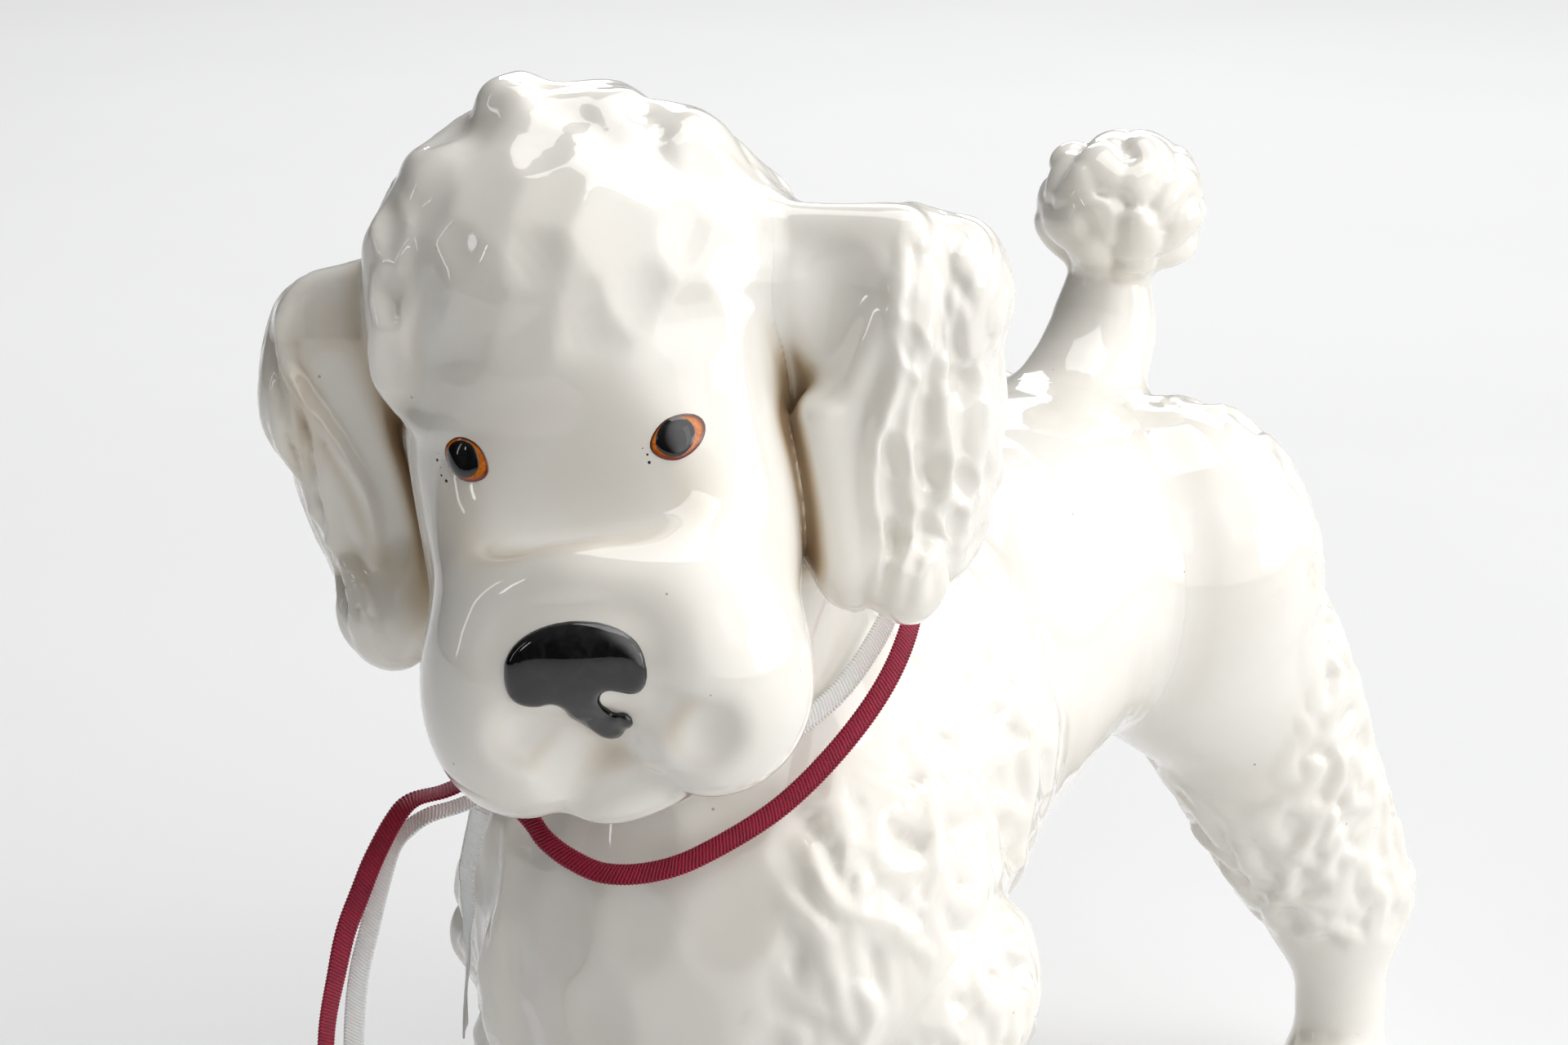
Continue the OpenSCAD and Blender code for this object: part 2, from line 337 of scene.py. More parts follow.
TUFTS = [  # the lumps that show in the topknot's outline: middle, half size
    ((-6.5, -2, 41.5), (5, 7, 6)), ((3.5, 2, 38.5), (7.5, 9, 6)), ((14.5, 0, 34), (7, 8, 5.5)),
    ((-16, -8, 34.5), (6.5, 7, 5)), ((-22.5, -11, 27.5), (5.5, 7, 6)), ((-24, -13, 17), (5, 8, 10))]
FLEW_HOLLOWS = [  # the soft hollows round the mouth: middle, half size
    ((-6, -49.6, -31.5), (4.8, 4.8, 4.0)), ((10.5, -50, -29.5), (3.6, 4, 3.2)),
    ((16.5, -48.6, -34), (4.2, 4.6, 4.7)), ((1, -46.4, -36), (6, 3, 3.2))]


def ear_form(p, side):
    """An ear's hanging flap with its shelf at the root, its pocket and its rolled front edge."""
    q = on_head(p) * np.array([side, 1, 1], p.dtype)
    root = limb(q, (25, 0, 16), (36, 2, 12), 10, 10 if side > 0 else 9)
    if side > 0:
        ear = smooth_min(root, lobe(q, (40, 2, -5), (7.5, 16, 27.5), EAR_TURN), 8)
        ear = smooth_min(ear, lobe(q, (49.5, 5, 10), (5.5, 8, 9)), 4)
        ear = smooth_min(ear, limb(q, (27, -3, 23), (43, -3, 20), 2.6, 3.4), 3)
        ear = hollowed(ear, limb(q, (35, -13.5, 15), (29, -12.5, 3), 6.5, 3.5), 3)
        ear = smooth_min(ear, limb(q, (29.4, -10, -2), (29.5, -7, -22), 3.0, 4.2), 4)
        ear = smooth_min(ear, limb(q, (27, 0, 10), (27, 1, -20), 5.5, 6.5), 3)
        ear = smooth_min(ear, lobe(q, (29.6, -4, -24), (4.8, 5, 6.5)), 2.5)
        return smooth_min(ear, lobe(q, (37, -3, -27), (5.5, 6, 6.5)), 2.5)
    ear = smooth_min(root, lobe(q, (38.3, 2, -6), (7, 14.5, 26.5), EAR_TURN), 8)
    ear = smooth_min(ear, lobe(q, (44.5, 0, 5), (4.5, 8, 8)), 4)
    ear = smooth_min(ear, limb(q, (27, -5, 22.5), (40, -4, 19), 2.4, 3), 3)
    ear = hollowed(ear, limb(q, (36.5, -15.5, 10), (31, -13.5, -12), 7.0, 6.0), 3)
    ear = smooth_min(ear, lobe(q, (34.8, -4, -25), (6.8, 6.5, 8)), 4)
    return hollowed(ear, limb(q, (27.2, -1, -14), (29.2, -2.5, -29), 1.9, 1.7), 2)


def trunk_form(p):
    neck = limb(p, (0, -37, 136), (0, -25, 104), 20.5, 23.5)
    body = joined([
        lobe(p, (0, -24, 74), (39, 35, 42)),
        limb(p, (0, 4, 90), (0, 57, 99), 33, 29),
        lobe(p, (0, 74, 102), (28, 26, 27)),
        limb(p, (0, -20, 108), (0, 6, 96), 21, 30)], 10)
    return smooth_min(body, neck, 8)


def tail_form(p):
    stem = joined([
        limb(p, (0, 84, 120), (0, 96, 134), 13, 8),
        limb(p, (0, 96, 134), (0, 99, 146), 7.3, 6.8)], 5)
    return smooth_min(stem, lobe(p, POMPON_AT + [0.6, 0, 0.6], (13.2, 13.2, 11.4)), 2.5)


def foreleg_form(p, side):
    q = p * np.array([side, 1, 1], p.dtype)
    cuff = joined([
        limb(q, (20, -20, 62), (19, -26, 30), 24, 16),
        limb(q, (19, -30, 32), (19, -30, 10), 9, 7.5)], 4)
    return joined([cuff, lobe(q, (19, -34, 5.5), (9, 12.5, 7.5))], 5)


def hindleg_form(p, side):
    q = p * np.array([side, 1, 1], p.dtype)
    leg = joined([
        lobe(q, (19, 85, 98), (24, 23, 29)),
        limb(q, (26, 96, 78), (38, 112, 38), 19, 13),
        limb(q, (40, 112, 30), (40, 112, 10), 8, 7.5)], 6)
    return smooth_min(leg, lobe(q, (40, 108, 5.5), (9, 12.5, 7.5)), 5)


FORMS = {
    "trunk": trunk_form,
    "head": head_form,
    "ear_left": lambda p: ear_form(p, 1),
    "ear_right": lambda p: ear_form(p, -1),
    "tail": tail_form,
    "foreleg_left": lambda p: foreleg_form(p, 1),
    "foreleg_right": lambda p: foreleg_form(p, -1),
    "hindleg_left": lambda p: hindleg_form(p, 1),
    "hindleg_right": lambda p: hindleg_form(p, -1),
}
TOUCHING = {
    "trunk": ["head", "tail", "foreleg_left", "foreleg_right", "hindleg_left", "hindleg_right"],
    "head": ["trunk", "ear_left", "ear_right"],
    "ear_left": ["head"],
    "ear_right": ["head"],
    "tail": ["trunk", "hindleg_left", "hindleg_right"],
    "foreleg_left": ["trunk", "foreleg_right"],
    "foreleg_right": ["trunk", "foreleg_left"],
    "hindleg_left": ["trunk", "tail", "hindleg_right"],
    "hindleg_right": ["trunk", "tail", "hindleg_left"],
}
SOFTNESS = {"head": 3.0, "ear_left": 2.0, "ear_right": 2.0, "tail": 6.0, "trunk": 5.0,
            "foreleg_left": 5.0, "foreleg_right": 5.0, "hindleg_left": 6.0, "hindleg_right": 6.0}


def whole(name, p):
    """(the blended skin, how far past its luted joints) for one casting and its neighbours."""
    own = FORMS[name](p)
    skin, nearest = own, None
    for other in TOUCHING[name]:
        d = FORMS[other](p)
        skin = smooth_min(skin, d, min(SOFTNESS[name], SOFTNESS[other]))
        nearest = d if nearest is None else np.minimum(nearest, d)
    skin = np.maximum(skin, -p[:, 2])
    return skin, own - nearest


def casting_field(name, p):
    """A casting's own solid: the skin, let in a little where it runs on under its neighbour."""
    skin, past = whole(name, p)
    let_in = 0.5 * np.clip(past / LUTED_OVERLAP, 0, 1)
    return -smooth_min(-skin - let_in, LUTED_OVERLAP - past, 2.5)


# ---- Castings: from a field to a mesh ----

GRID_SHIFTS = (0.0, 0.37, 0.71, 0.19, 0.53, 0.87)


def sampled(field, low, counts, step, block=3):
    """The field on a grid: everywhere at a coarse step, and at the fine one near the surface."""
    coarse_counts = -(-(counts - 1) // block) + 1
    index = np.indices(coarse_counts).reshape(3, -1).T
    coarse = field((low + step * block * index).astype(np.float32)).reshape(coarse_counts)
    closest = np.abs(coarse)
    for axis in range(3):
        closest = np.minimum(np.delete(closest, -1, axis), np.delete(closest, 0, axis))
    near = closest < 1.3 * block * step
    values, fine = coarse[:-1, :-1, :-1], near
    for axis in range(3):
        values, fine = np.repeat(values, block, axis), np.repeat(fine, block, axis)
    values = np.pad(values, ((0, 1),) * 3, mode="edge")
    fine = np.pad(fine, ((0, 1),) * 3)
    for axis in range(3):
        fine = fine | np.roll(fine, 1, axis)
    index = np.argwhere(fine)
    values[fine] = field((low + step * index).astype(np.float32))
    return values[:counts[0], :counts[1], :counts[2]]


def surface_net(field, low, high, step):
    """One point in each grid cell that the surface crosses, and a quad for each crossed edge."""
    low = np.asarray(low, float)
    counts = np.ceil((np.asarray(high, float) - low) / step).astype(int) + 1
    value = sampled(field, low, counts, step)
    cells = tuple(counts - 1)
    total, hits = np.zeros(cells + (3,), np.float32), np.zeros(cells, np.float32)
    crossings = {}
    for axis in range(3):
        a = np.delete(value, -1, axis)
        b = np.delete(value, 0, axis)
        crossed = (a < 0) != (b < 0)
        t = np.where(crossed, a / np.where(crossed, a - b, 1), 0)
        crossings[axis] = (crossed, a < 0)
        u, v = [k for k in range(3) if k != axis]
        for du in (0, 1):
            for dv in (0, 1):
                cut = [slice(None)] * 3
                cut[u] = slice(du, du + cells[u])
                cut[v] = slice(dv, dv + cells[v])
                here = crossed[tuple(cut)]
                hits += here
                total[..., axis] += np.where(here, t[tuple(cut)], 0)
                total[..., u] += here * du
                total[..., v] += here * dv
    active = hits > 0
    number = np.full(cells, -1, np.int64)
    number[active] = np.arange(active.sum())
    points = low + step * (np.argwhere(active) + total[active] / hits[active][:, None])
    quads = []
    for axis in range(3):
        crossed, inside = crossings[axis]
        u, v = [(1, 2), (2, 0), (0, 1)][axis]
        inner = [slice(None)] * 3
        inner[u] = slice(1, -1)
        inner[v] = slice(1, -1)
        where = np.argwhere(crossed[tuple(inner)])
        flip = inside[tuple(inner)][tuple(where.T)]
        corners = []
        for du, dv in ((0, 0), (1, 0), (1, 1), (0, 1)):
            cell = where.copy()
            cell[:, u] += du
            cell[:, v] += dv
            corners.append(number[tuple(cell.T)])
        quad = np.stack(corners, 1)
        quad[~flip] = quad[~flip][:, ::-1]
        quads.append(quad)
    return points, np.vstack(quads)


def closed_net(field, low, high, step):
    """A surface net with two faces at every edge: where one pinches, its grid is moved a little."""
    for shift in GRID_SHIFTS:
        points, quads = surface_net(field, np.asarray(low, float) - shift * step, high, step)
        if (np.bincount(edges_of(quads)[1].ravel()) == 2).all():
            break
    return points, quads


def edges_of(quads):
    pairs = np.sort(np.stack([quads, np.roll(quads, -1, 1)], -1).reshape(-1, 2), 1)
    return np.unique(pairs, axis=0, return_inverse=True)


def split(points, quads):
    """Each quad as four."""
    edges, index = edges_of(quads)
    index = index.reshape(-1, 4) + len(points)
    middle = np.arange(len(quads)) + len(points) + len(edges)
    finer = np.vstack([points, points[edges].mean(1), points[quads].mean(1)])
    parts = [np.stack([quads[:, k], index[:, k], middle, index[:, k - 1]], 1) for k in range(4)]
    return finer, np.vstack(parts)


def averaged(values, edges, times):
    """Values evened out over a mesh's edges."""
    count = np.bincount(edges.ravel(), minlength=len(values)).astype(float)
    out = np.asarray(values, float).reshape(len(values), -1)
    for _ in range(times):
        mean = np.empty_like(out)
        for k in range(out.shape[1]):
            mean[:, k] = (np.bincount(edges[:, 0], out[edges[:, 1], k], len(out))
                          + np.bincount(edges[:, 1], out[edges[:, 0], k], len(out)))
        out = 0.5 * out + 0.5 * mean / count[:, None]
    return out.reshape(np.shape(values))


def slope(field, p, reach=0.2):
    """(the field's values, its gradient) at the points."""
    here = field(p)
    return here, np.stack([(field(p + reach * axis) - here) / reach for axis in np.eye(3)], 1)


def drawn_to(field, p, times=2):
    """(points moved onto the field's surface, the way out from it there)."""
    for _ in range(times):
        here, g = slope(field, p)
        p = p - (here / np.maximum(np.einsum("ij,ij->i", g, g), 0.05))[:, None] * g
    return p, unit(g)

# ---- Castings: modelled hair ----

RIDGES = {  # half width, height (a groove below 0), then the line across and up, seen from the front
    "head": [(0.9, 0.9, [(-21, 30), (-21, 21), (-24, 12)]),
             (1.3, 1.1, [(-26, 16), (-26, 9), (-22, 5), (-16, 5)]),
             (1.8, -0.8, [(-5, -44), (2, -41), (9, -40), (15, -38)])],
    "ear_left": [(1.5, 1.2, [(43, 19), (43, 8), (35, -8)])],
    "ear_right": [(1.0, 2.1, [(-30, 24), (-40, 21), (-42, 13), (-37, 1), (-34, -8), (-35, -18)]),
                  (1.0, 1.1, [(-30, 27), (-41, 23)])]}
FLUTES = {  # how many, across at top and foot, the step to the next, height at top and foot, ridge size
    "ear_left": (4, (42, 32), (3.4, 3.8), (15, -30), (1.2, 1.9)),
    "ear_right": (3, (-42, -36), (-1.8, -2.0), (12, -30), (0.9, 1.4))}
FLUTE_SWAY, FLUTE_WAVES, FLUTE_PHASE = 0.9, 1.4, 0.17
TEMPLE_HOLLOWS = 3


class Patch:
    """The points where one kind of hair grows, kept in order so that near ones are found fast."""

    def __init__(self, skin, weight):
        owner, points, normals, roots = skin
        grown = np.flatnonzero(roots & (weight > 0.4))
        self.root_points, self.root_normals = points[grown], normals[grown]
        index = np.flatnonzero(weight > 0)
        self.index = index[np.argsort(points[index, 0])]
        self.points, self.normals = points[self.index], normals[self.index]
        self.weight = weight[self.index]

    def near(self, at, reach):
        low, high = np.searchsorted(self.points[:, 0], (at[0] - reach, at[0] + reach))
        return low + np.flatnonzero((np.abs(self.points[low:high] - at) < reach).all(1))

    def seeds(self, apart, random, limit=6000):
        """Places picked at random, none closer together than a spacing, with the way out at each."""
        kept = np.full((limit, 3), 1e9)
        count = 0
        for i in random.permutation(len(self.root_points))[:limit]:
            p = self.root_points[i]
            near = kept[:count][(np.abs(kept[:count] - p) < apart).all(1)]
            if not len(near) or (((near - p) ** 2).sum(1) > apart * apart).all():
                kept[count] = p
                count += 1
                yield p, self.root_normals[i]


def facing_down(n):
    """The way down along the surface at a point."""
    down = np.array([0, 0, -1.0]) + n[2] * n
    return down / np.linalg.norm(down) if np.linalg.norm(down) > 0.15 else unit(np.cross(n, [0, 1, 0.2]))


def laid(n, angle):
    """(the way a lock lies, the way across it) on a surface, turned from straight down."""
    down, angle = facing_down(n), math.radians(angle)
    along = down * math.cos(angle) + np.cross(n, down) * math.sin(angle)
    return along, np.cross(n, along)


def locks(patch, apart, length, width, height, bend, sway, random, lean=0.0):
    """Raised locks of hair, S-shaped and pointed at the ends, the highest winning at each point."""
    out = np.zeros(len(patch.points))
    for at, n in patch.seeds(apart, random):
        size = random.uniform(0.75, 1.25)
        half_l, half_w = length / 2 * size, width / 2 * random.uniform(0.8, 1.2)
        along, across = laid(n, lean * np.sign(at[0]) + random.uniform(-sway, sway))
        s_bend = bend * random.uniform(0.5, 1.2) * random.choice([-1, 1])
        top = height * random.uniform(0.6, 1.2)
        phase = random.uniform(-0.6, 0.6)
        near = patch.near(at, half_l * 1.1 + 1)
        d = patch.points[near] - at
        u = d @ along / half_l
        same_side = (np.abs(d @ n) < half_l * 0.8) & (patch.normals[near] @ n > 0.2)
        taper = np.sqrt(np.clip(1 - np.abs(u) ** 2.4, 0, 1)) + 1e-3
        v = (d @ across - s_bend * np.sin(math.pi * (u + phase))) / (half_w * taper)
        shape = np.clip(1 - v * v, 0, 1) ** 0.62 * np.clip(1 - u ** 4, 0, 1) ** 0.5
        out[near] = np.maximum(out[near], top * shape * (1 - 0.22 * (u + 1)) * same_side)
    return out


def dimples(patch, apart, size, depth, random):
    """Shallow brush-like hollows, each longer down the surface than across, with soft rims."""
    out = np.zeros(len(patch.points))
    for at, n in patch.seeds(apart, random):
        along, across = laid(n, random.uniform(-35, 35))
        scale = size * random.uniform(0.75, 1.2)
        near = patch.near(at, size * 1.2)
        d = patch.points[near] - at
        r2 = (d @ along / (scale * 0.62)) ** 2 + (d @ across / (scale * 0.46)) ** 2
        hollow = depth * random.uniform(0.6, 1.2) * np.clip(1 - r2, 0, 1) ** 1.2
        out[near] = np.maximum(out[near], hollow * (patch.normals[near] @ n > 0))
    return -out


def fold(flat, route, half_width, height):
    """A rounded ridge, or a groove where the height is negative, along a route on a flat view."""
    line, _ = curve_through(route, 0.6)
    near = np.flatnonzero((np.abs(flat - (line.max(0) + line.min(0)) / 2)
                           < (line.max(0) - line.min(0)) / 2 + 3 * half_width).all(1))
    far2 = ((flat[near, None] - line) ** 2).sum(-1)
    ends = np.sin(math.pi * (far2.argmin(1) + 0.5) / len(line)) ** 0.6
    out = np.zeros(len(flat))
    out[near] = height * ends * np.exp(-far2.min(1) / half_width ** 2)
    return out


def lens(flat, at, half, turn, depth):
    """A lens-shaped hollow with a raised crest round it."""
    c, s = math.cos(math.radians(turn)), math.sin(math.radians(turn))
    d = flat - np.array(at)
    r = np.hypot(d @ np.array([c, s]) / half[0], d @ np.array([-s, c]) / half[1])
    return 0.5 * depth * np.exp(-((r - 1.2) / 0.24) ** 2) - depth * np.clip(1 - r * r, 0, 1)


def flute(name, i, t):
    """Where one of an ear's flutes runs, from its top at 0 to its foot at 1, seen from the front."""
    _, (top, foot), (top_step, foot_step), (high, low), _ = FLUTES[name]
    across = (top + top_step * i) * (1 - t) + (foot + foot_step * i) * t
    sway = FLUTE_SWAY * np.sin(2 * math.pi * (FLUTE_WAVES * t + FLUTE_PHASE * i))
    return np.stack([across + sway, high * (1 - t) + low * t], -1)


def fluted_ear(flat, name):
    """Swaying flutes down an ear, with lens-shaped hollows in the troughs between them."""
    count, _, (step, _), _, (half_width, height) = FLUTES[name]
    relief = sum(fold(flat, flute(name, i, np.linspace(0, 1, 9)), half_width, height) for i in range(count))
    for i in range(count - 1):
        for t in (0.2 + 0.08 * i, 0.5 + 0.08 * i, 0.78):
            middle = (flute(name, i, t) + flute(name, i + 1, t)) / 2
            relief = relief + lens(flat, middle, (0.42 * abs(step), 3.6), 8, 0.7)
    return relief


def modelled(q, n, name):
    """The ridges, flutes and hollows seen from the front of the head."""
    front = ramp(n @ HEAD_AXES @ unit([0.1, -0.95, 0.2]), -0.1, 0.3)
    flat = q[:, [0, 2]]
    relief = sum(fold(flat, route, half_width, height) for half_width, height, route in RIDGES[name])
    if name in FLUTES:
        return front * (relief + fluted_ear(flat, name))
    for k in range(TEMPLE_HOLLOWS):
        relief = relief + lens(flat, (k - 24.5, 14 + 8.5 * k), (2.3, 3.4), 0, 0.7)
    return front * relief


def ramp(x, low, high):
    t = np.clip((x - low) / (high - low), 0, 1)
    return t * t * (3 - 2 * t)


def off_the_ribbon(p, grown):
    """Nothing where the white end hangs close to the chest, all of it farther off."""
    part = np.flatnonzero(grown > 0)
    apart = np.full(len(part), 1e9)
    for at in curve_through(END_WHITE_SIDE, 1.5)[0]:
        apart = np.minimum(apart, np.linalg.norm(p[part] - at, axis=1))
    share = np.ones(len(p))
    share[part] = ramp(apart, 2.5, 7)
    return share


def hair(skin):
    """Height of the modelled hair over the castings' smooth skin, at every point of them all."""
    owner, p, n, _ = skin
    random = np.random.default_rng(5)
    height = np.zeros(len(p))
    q = on_head(p)
    on = {name: owner == k for k, name in enumerate(FORMS)}

    def grow(weight, kind, *shape, base=0.0, **more):
        patch = Patch(skin, weight)
        height[patch.index] += patch.weight * (kind(patch, *shape, random, **more) - base)

    topknot = on["head"] * ramp(q[:, 2], 10, 16) * ramp(q[:, 1] - 0.2 * q[:, 2], -40, -30)
    topknot = np.maximum(topknot, on["head"] * ramp(q[:, 1], -6, 4) * ramp(q[:, 2], -20, -8))
    grow(topknot, dimples, 7.6, 13.0, 0.9)
    crown = on["head"] * ramp(q[:, 2], 26, 34) * ramp(q[:, 1], -14, -4)
    crown = np.maximum(crown, on["head"] * ramp(q[:, 1], 4, 12) * ramp(q[:, 2], -22, -10))
    grow(crown, locks, 6.5, 13, 7.5, 1.2, 1.6, 50)
    for name, side in (("head", 0), ("ear_left", 1), ("ear_right", -1)):
        part = np.flatnonzero(on[name])
        height[part] += modelled(q[part], n[part], name)
        if side:
            behind = on[name] * ramp(n @ HEAD_AXES @ unit([0.1 * side, 0.95, -0.2]), 0.0, 0.4)
            outside = on[name] * (1 - behind) * ramp(q[:, 0] * side + 0.3 * q[:, 1], 37, 42)
            outside = outside * ramp(q[:, 2], 22, 14)
            grow(behind * ramp(q[:, 2], 27, 20), locks, 5.0, 22, 6, 2.0, 2.2, 18, base=0.7)
            grow(outside, locks, 4.4, 18, 4.0, 1.1 if side > 0 else 0.6, 1.9, 16, base=0.4)

    chest = on["trunk"] | on["foreleg_left"] | on["foreleg_right"]
    low = ramp(p[:, 2], 108, 94) * ramp(p[:, 2], 20, 28)
    curled = chest * ramp(p[:, 0] + 0.3 * p[:, 1], 6, 15) * ramp(p[:, 1], 22, 8) * low
    grow(curled, locks, 4.8, 22, 6.4, 3.3, 3.0, 22, base=1.1, lean=24)
    fluted = chest * ramp(p[:, 0] - 0.3 * p[:, 1], 0, -8) * ramp(p[:, 1], 22, 8) * low
    fluted = fluted * off_the_ribbon(p, fluted)
    grow(fluted, locks, 5.2, 34, 5.6, 3.0, 1.6, 8, base=-0.3, lean=8)
    middle = chest * (1 - curled) * (1 - fluted) * ramp(p[:, 1], -30, -42) * low
    grow(middle, dimples, 11, 13, 0.7)
    mane = on["trunk"] * ramp(p[:, 1], 24, 8) * ramp(p[:, 2], 88, 100) * ramp(p[:, 1], -34, -18)
    grow(mane, locks, 7.5, 17, 8, 1.1, 2.2, 40)

    grow(on["tail"] * ramp(p[:, 2], 143, 148), locks, 6.0, 11, 8.2, 2.6, 0.8, 90, base=0.6)
    thigh = (on["hindleg_left"] | on["hindleg_right"]) * ramp(p[:, 1], 80, 94) * ramp(p[:, 2], 30, 36)
    grow(thigh, locks, 4.6, 12, 5.6, 2.2, 1.6, 35, base=0.6)
    return height


# ---- Castings: their meshes ----

SIZES = {  # lowest corner, highest corner, and the cells of the net that draws it
    "trunk": ((-46, -68, 24), (46, 110, 158), 1.55),
    "head": ((-46, -118, 98), (44, -8, 208), 1.15),
    "ear_left": ((8, -84, 96), (68, -8, 202), 1.0),
    "ear_right": ((-66, -96, 96), (-8, -20, 202), 1.0),
    "tail": ((-22, 70, 104), (24, 122, 174), 1.1),
    "foreleg_left": ((-6, -54, -4), (50, 16, 94), 1.3),
    "foreleg_right": ((-50, -54, -4), (6, 16, 94), 1.3),
    "hindleg_left": ((-6, 56, -4), (60, 134, 134), 1.35),
    "hindleg_right": ((-60, 56, -4), (6, 134, 134), 1.35),
}
PROBE_REACHES = (1.5, 3.0, 6.0)
# per-ear shift of the pooled glaze colour and its painted shade: lighter on the left ear, darker on the
# right
POOLING_AND_SHADE_MORE = {"ear_left": -0.1, "ear_right": 0.14}


def hidden_from_light(p, n):
    """How closed in each point is, from 0 in the open to 1 in a deep fold."""
    shut = np.zeros(len(p))
    for reach in PROBE_REACHES:
        probe = p + n * reach
        clear = np.full(len(p), 1e9)
        for name in FORMS:
            low, high, _ = SIZES[name]
            near = ((probe > np.array(low) - 14) & (probe < np.array(high) + 14)).all(1)
            clear[near] = np.minimum(clear[near], FORMS[name](probe[near]))
        shut += np.clip(1 - clear / reach, 0, 1) / len(PROBE_REACHES)
    return shut


def castings(glaze):
    nets = {}
    for name in FORMS:
        low, high, step = SIZES[name]
        field = lambda p, name=name: casting_field(name, p)
        points, quads = closed_net(field, low, high, step)
        roots = len(points)
        points, quads = split(points, quads)
        edges, _ = edges_of(quads)
        points, normals = drawn_to(field, averaged(points, edges, 2))
        open_air = 1 - ramp(whole(name, points)[1], -3.0, -0.3)
        nets[name] = (points, quads, edges, normals, np.arange(len(points)) < roots, open_air)
    p, n, roots, open_air = (np.concatenate([net[k] for net in nets.values()]) for k in (0, 3, 4, 5))
    owner = np.concatenate([np.full(len(net[0]), k) for k, net in enumerate(nets.values())])
    height = hair((owner, p, n, roots)) * open_air
    shut = hidden_from_light(p, n)
    start = 0
    for name, (points, quads, edges, normals, _, _) in nets.items():
        part = slice(start, start + len(points))
        start += len(points)
        rise = averaged(height[part], edges, (4) + 4 * (name == "head"))
        deep = averaged(rise, edges, 14) - rise
        piece = new_piece(name + "_glazed", points + normals * rise[:, None], quads, glaze, "glaze", [name])
        # partly glaze pooling and partly painted shade: higher where a point is closed in from the light
        # and where it sits low in the hair
        pooled_glaze_and_shade = shut[part] + 0.3 * np.clip(deep, 0, 1.5) + POOLING_AND_SHADE_MORE.get(name, 0.0)
        store(piece, "pooled_glaze_and_shade", np.clip(pooled_glaze_and_shade, 0, 1))

# ---- Raised enamel: nose, eyes and the dots painted beside them ----

IRIS_HALF = (3.65, 2.8)
PUPIL_HALF = (2.8, 2.6)
EYE_SLANTS = {1: 13.0, -1: 34.0}
EYE_DOTS = {1: (4.4, 188, 13, 3), -1: (4.6, 20, -12, 6)}  # radius of their arc, first angle, turn, count


def nose_edge(q):
    """Signed distance to the nose's outline: a wide oval with two wings, and a crooked stub below it."""
    flat = q[:, [0, 2]] - NOSE_AT[[0, 2]]
    pad = joined([lobe(flat, (0, 0), (9.4, 6.0)), lobe(flat, (-6.0, -2.0), (3.4, 3.4)),
                  lobe(flat, (6.0, -1.9), (3.4, 3.3))], 1.0)
    pad = smooth_min(pad, limb(flat, (-0.6, -5.5), (1.9, -9.9), 2.9, 2.4), 0.8)
    pad = smooth_min(pad, limb(flat, (1.8, -10.0), (4.6, -8.7), 1.9, 1.5), 0.6)
    pad = hollowed(pad, limb(flat, (3.9, -5.1), (7.8, -6.3), 1.15, 0.8), 0.5)
    return hollowed(pad, lobe(flat, (-4.0, -6.6), (1.3, 1.3)), 0.6)


def slanted(q, at, side, half):
    """Signed distance to an eye-shaped oval on the head, raised at its outer end."""
    slant = math.radians(EYE_SLANTS[side])
    c, s = math.cos(slant), math.sin(slant)
    x, z = q[:, 0] * side - at[0], q[:, 2] - at[2]
    u, v = (c * x + s * z) / half[0], (c * z - s * x) / half[1]
    corner = 1 - 0.22 * np.clip(-u, 0, 1.2) ** 2
    return (np.sqrt(u * u + (v / corner) ** 2) - 1) * min(half)


def enamel(name, edge, at, reach, raised, bed, step, material, slot, nodes):
    """A pool of raised enamel on the head's skin, inside the outline that edge measures."""
    soft = min(2.5 * step, raised)

    def field(p):
        skin = whole("head", p)[0]
        rim = edge(on_head(p))
        dome = raised * (1 - np.exp(np.minimum(rim, 0) / 0.6))
        return -smooth_min(smooth_min(dome - skin, skin + bed, soft), -rim, soft)
    centre = off_head(at)
    points, quads = closed_net(field, centre - reach, centre + reach, step)
    edges, _ = edges_of(quads)
    points = averaged(points, edges, 2)
    rim = edge(on_head(points))
    piece = new_piece(name, points, quads, material, slot, nodes)
    store(piece, "rim", np.clip(1 + rim / 2.2, 0, 1))
    store(piece, "low", np.clip((at[2] - on_head(points)[:, 2]) / 2.6, 0, 1))


def add_face(black, amber):
    enamel("nose_black", nose_edge, NOSE_AT + [0, -1.0, -3.0],
           np.array([13.0, 10, 13]), 0.8, 0.7, 0.34, black, "black_enamel", ["nose_enamel"])
    for name, side in (("left", 1), ("right", -1)):
        at = EYE_AT * [side, 1, 1]
        enamel("iris_amber_" + name, lambda q, s=side: slanted(q, EYE_AT, s, IRIS_HALF), at,
               np.full(3, 6.5), 0.28, 0.5, 0.17, amber, "amber_enamel", ["iris_" + name])
        pupil_at = EYE_AT + [0.1 - 0.25 * side, 0, 0.1]
        enamel("pupil_black_" + name, lambda q, s=side, c=pupil_at: slanted(q, c, s, PUPIL_HALF), at,
               np.full(3, 5.0), 0.55, 0.3, 0.15, black, "black_enamel", ["pupil_" + name])
        enamel("eye_dots_" + name, lambda q, s=side: dotted(q, s), at,
               np.array([8.0, 8, 5.5]), 0.14, 0.2, 0.13, black, "black_enamel", [])


def dotted(q, side):
    """Signed distance to the small dots in an arc beside an eye."""
    radius, first, turn, count = EYE_DOTS[side]
    flat = q[:, [0, 2]] * [side, 1] - EYE_AT[[0, 2]]
    best = np.full(len(q), 1e9)
    for k in range(count):
        angle = math.radians(first + turn * k)
        at = (radius - 0.3 * (k % 2)) * np.array([math.cos(angle), math.sin(angle)])
        best = np.minimum(best, np.linalg.norm(flat - at, axis=1) - 0.25 - 0.05 * (k % 3))
    return best

# ---- Materials ----

